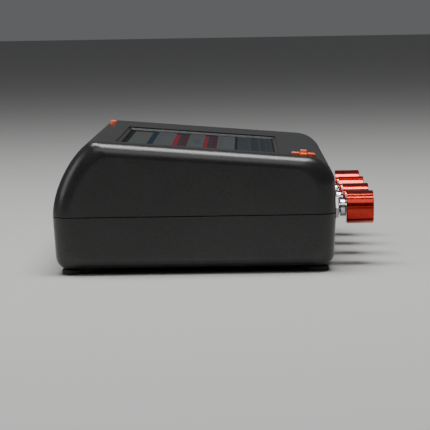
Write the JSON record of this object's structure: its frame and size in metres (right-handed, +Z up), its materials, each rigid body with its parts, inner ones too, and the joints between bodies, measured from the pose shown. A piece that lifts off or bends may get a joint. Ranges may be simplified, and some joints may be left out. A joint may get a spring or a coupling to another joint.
{
  "type": "tuner console",
  "caption": "Wedge-shaped desktop tuner console with a recessed colour display, an orange cross pad and a row of fluted red knobs along its front wall.",
  "frame": {"origin": "centre of the bounding box on the surface that the feet stand on", "axes": "+X from the high rear end of the case to the knobs, -Y the side next to the cross pad, +Z up"},
  "size_m": [0.1278, 0.16, 0.0542],
  "materials": {
    "graphite_shell": "satin metallic graphite with a fine texture",
    "red_aluminium": "red anodised, polished",
    "chrome": "polished",
    "orange_plastic": "semi-gloss",
    "black_rubber": "matte",
    "window": "clear cover",
    "gasket_foam": "matte foam",
    "display_panel": "colour display",
    "circuit_board": "solder resist",
    "steel": "plain",
    "black_plastic": "moulded",
    "white_plastic": "moulded",
    "cell_can": null,
    "copper_film": "flexible film"
  },
  "bodies": {
    "root": {"upper_shell": "graphite_shell", "lower_shell": "graphite_shell", "display_window": "window", "display_gasket": "gasket_foam", "display_panel": "display_panel", "backlight_tray": "white_plastic", "display_board": "circuit_board", "encoder_board": "circuit_board", "main_board": "circuit_board", "ribbon_cable": "copper_film", "battery_holder": "black_plastic", "battery_cell_rear": "cell_can", "battery_cell_front": "cell_can", "usb_port": "steel", "microphone": "steel", "nav_switch": "black_plastic", "power_switch": "black_plastic", "foot_1": "black_rubber", "case_screw_1": "steel", "display_screw_1": "steel", "encoder_1": "black_plastic", "encoder_nut_1": "chrome", "foot_2": "black_rubber", "case_screw_2": "steel", "display_screw_2": "steel", "encoder_2": "black_plastic", "encoder_nut_2": "chrome", "foot_3": "black_rubber", "case_screw_3": "steel", "display_screw_3": "steel", "encoder_3": "black_plastic", "encoder_nut_3": "chrome", "foot_4": "black_rubber", "case_screw_4": "steel", "display_screw_4": "steel", "encoder_4": "black_plastic", "encoder_nut_4": "chrome", "board_screw_1": "steel", "board_screw_2": "steel"},
    "gimbal": {"nav_gimbal": "steel"},
    "pad": {"nav_pad": "orange_plastic"},
    "centre_key": {"nav_button": "orange_plastic"},
    "power_key": {"power_button": "orange_plastic"},
    "control_1": {"encoder_shaft_1": "steel", "knob_collar_1": "chrome", "knob_1": "red_aluminium", "knob_screw_1": "steel"},
    "control_2": {"encoder_shaft_2": "steel", "knob_collar_2": "chrome", "knob_2": "red_aluminium", "knob_screw_2": "steel"},
    "control_3": {"encoder_shaft_3": "steel", "knob_collar_3": "chrome", "knob_3": "red_aluminium", "knob_screw_3": "steel"},
    "control_4": {"encoder_shaft_4": "steel", "knob_collar_4": "chrome", "knob_4": "red_aluminium", "knob_screw_4": "steel"}
  },
  "joints": [
    {"name": "pad_tilt_front_rear", "type": "hinge", "parent": "root", "child": "gimbal", "pos_m": [0.03504, -0.0702, 0.04178], "axis": [0, 1, 0], "range_deg": [-4, 4], "stiffness_Nm_per_rad": 0.005},
    {"name": "pad_tilt_side", "type": "hinge", "parent": "gimbal", "child": "pad", "pos_m": [0.03504, -0.0702, 0.04178], "axis": [0.9965, 0, -0.0837], "range_deg": [-4, 4], "stiffness_Nm_per_rad": 0.005},
    {"name": "centre_key_press", "type": "slide", "parent": "pad", "child": "centre_key", "axis": [-0.0837, 0, -0.9965], "range_m": [0, 0.0005], "stiffness_N_per_m": 300},
    {"name": "power_key_press", "type": "slide", "parent": "root", "child": "power_key", "axis": [-0.0837, 0, -0.9965], "range_m": [0, 0.0005], "stiffness_N_per_m": 300},
    {"name": "control_1_turn", "type": "hinge", "parent": "root", "child": "control_1", "pos_m": [0.04807, -0.05137, 0.023], "axis": [1, 0, 0], "continuous": true},
    {"name": "control_2_turn", "type": "hinge", "parent": "root", "child": "control_2", "pos_m": [0.04807, -0.01713, 0.023], "axis": [1, 0, 0], "continuous": true},
    {"name": "control_3_turn", "type": "hinge", "parent": "root", "child": "control_3", "pos_m": [0.04807, 0.01713, 0.023], "axis": [1, 0, 0], "continuous": true},
    {"name": "control_4_turn", "type": "hinge", "parent": "root", "child": "control_4", "pos_m": [0.04807, 0.05137, 0.023], "axis": [1, 0, 0], "continuous": true}
  ]
}
